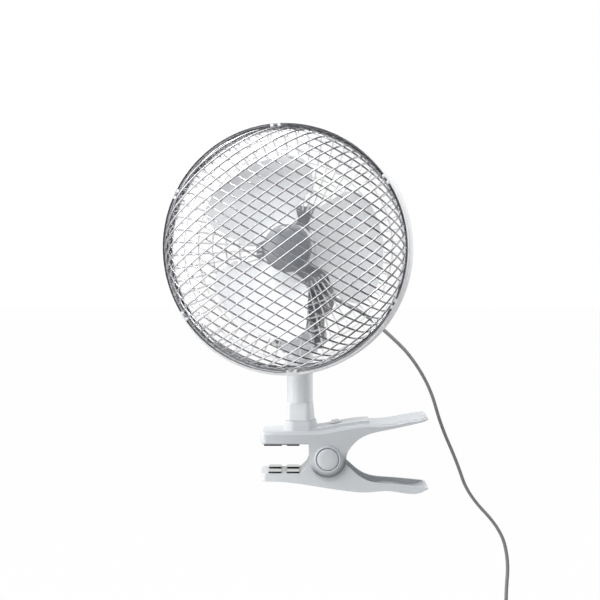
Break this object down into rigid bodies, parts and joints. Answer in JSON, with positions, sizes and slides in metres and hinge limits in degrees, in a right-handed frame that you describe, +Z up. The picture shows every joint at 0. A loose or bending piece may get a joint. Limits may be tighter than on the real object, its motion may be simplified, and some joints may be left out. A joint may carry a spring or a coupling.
{
  "type": "clip fan",
  "caption": "Small desk fan on a spring clip: round wire guard, three broad blades, motor housing, a post that swivels and tilts, padded jaws with handles, and a corded plug.",
  "frame": {"origin": "middle of the upper jaw's front pad, on the face that grips a shelf", "axes": "+Z up, +X from the jaws to the handles, the fan blows towards -Y"},
  "size_m": [0.2844, 0.1995, 0.4749],
  "materials": {
    "guard_plastic": "satin",
    "guard_wire": "polished",
    "rear_wire": "polished",
    "blade_plastic": "satin",
    "cap_gloss": "gloss",
    "clip_plastic": "satin",
    "housing_plastic": "satin",
    "neck_plastic": "satin",
    "pad_rubber": "matte",
    "knob_plastic": "satin",
    "cord_vinyl": "satin",
    "steel": "satin",
    "spring_steel": "satin",
    "lamination": "matte",
    "copper_winding": "satin",
    "bush_bronze": "satin",
    "plug_brass": "polished",
    "tie_black": "matte",
    "switch_black": "matte"
  },
  "bodies": {
    "clip_upper": {"upper_jaw": "clip_plastic", "upper_pads": "pad_rubber", "clamp_pin": "steel", "pin_cap_near": "clip_plastic", "pin_cap_far": "clip_plastic", "torsion_spring": "spring_steel", "switch_body": "switch_black"},
    "clip_lower": {"lower_jaw": "clip_plastic", "lower_pads": "pad_rubber"},
    "switch": {"switch_knob": "knob_plastic"},
    "neck": {"neck_post": "neck_plastic", "swivel_ring": "steel"},
    "head": {"guard_ring": "guard_plastic", "mesh_hoop": "guard_wire", "mesh_wires_outer": "guard_wire", "mesh_wires_inner": "guard_wire", "rear_wires": "rear_wire", "rear_rings": "rear_wire", "rear_hub_plate": "steel", "guard_screws": "steel", "motor_front_shell": "housing_plastic", "motor_rear_shell": "housing_plastic", "shell_screws": "steel", "stator_core": "lamination", "stator_winding": "copper_winding", "front_bush": "bush_bronze", "rear_bush": "bush_bronze", "tilt_bolt": "steel", "tilt_nut": "steel", "cord_gland": "cord_vinyl", "cord": "cord_vinyl", "coil_tie": "tie_black", "plug_body": "cord_vinyl", "plug_pins": "plug_brass"},
    "fan": {"impeller": "blade_plastic", "spinner_cap": "cap_gloss", "rotor": "lamination", "motor_shaft": "steel"}
  },
  "joints": [
    {"name": "clamp", "type": "hinge", "parent": "clip_upper", "child": "clip_lower", "pos_m": [0.0424, 0, -0.0099], "axis": [0, -1, 0], "range_deg": [0, 26], "stiffness_Nm_per_rad": 1.2, "springref_deg": -34.38, "deforming": ["torsion_spring"]},
    {"name": "switch_slide", "type": "slide", "parent": "clip_upper", "child": "switch", "axis": [0.981, 0, 0.1942], "range_m": [-0.003, 0.003]},
    {"name": "neck_swivel", "type": "hinge", "parent": "clip_upper", "child": "neck", "pos_m": [0.021, 0, 0], "axis": [0, 0, 1], "range_deg": [-170, 170]},
    {"name": "head_tilt", "type": "hinge", "parent": "neck", "child": "head", "pos_m": [0.021, 0, 0.0838], "axis": [0.9826, -0.1857, 0], "range_deg": [-20, 35]},
    {"name": "fan_spin", "type": "hinge", "parent": "head", "child": "fan", "pos_m": [0.0106, -0.05503, 0.1538], "axis": [-0.1857, -0.9826, 0], "continuous": true}
  ]
}
